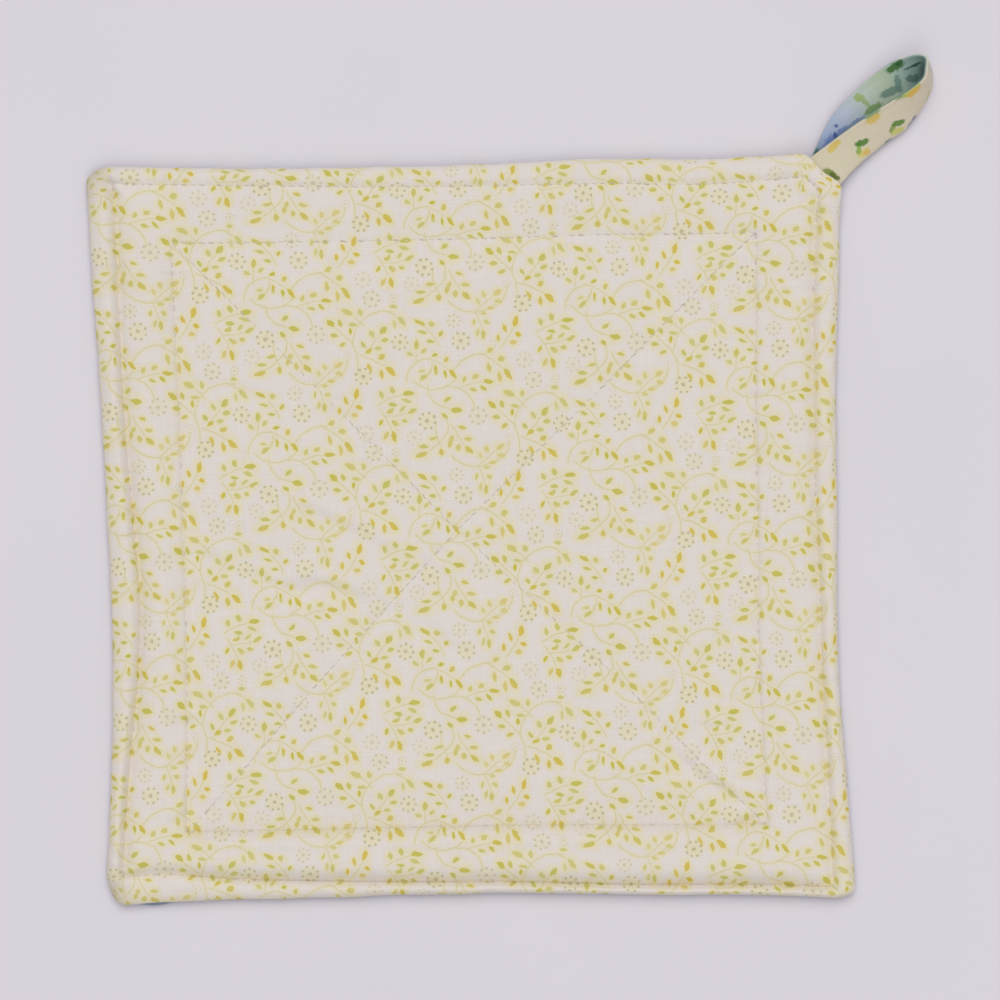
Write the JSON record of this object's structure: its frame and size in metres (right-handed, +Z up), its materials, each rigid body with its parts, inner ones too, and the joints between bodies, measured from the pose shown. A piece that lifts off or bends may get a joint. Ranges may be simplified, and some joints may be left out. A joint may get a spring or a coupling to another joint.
{
  "type": "quilted pot holder",
  "caption": "Flat square quilted cloth pot holder with a topstitched edge, a quilted square frame with crossed diagonals and a folded strap loop at one corner for hanging.",
  "frame": {"origin": "centre of the pad's underside, on the surface it lies on", "axes": "+Z up from the underside to the printed face, +X along the pad's bottom edge and +Y along its left edge, so that the hanging loop leaves the +X +Y corner"},
  "size_m": [0.2299, 0.2292, 0.0104],
  "materials": {
    "printed_cotton": "woven cotton, printed with small leaves",
    "backing_cotton": "woven cotton, dusty blue",
    "strap_cotton": "woven cotton, folded in four"
  },
  "bodies": {
    "root": {"top_panel": "printed_cotton", "bottom_panel": "backing_cotton", "hanging_loop": "strap_cotton"}
  },
  "joints": []
}
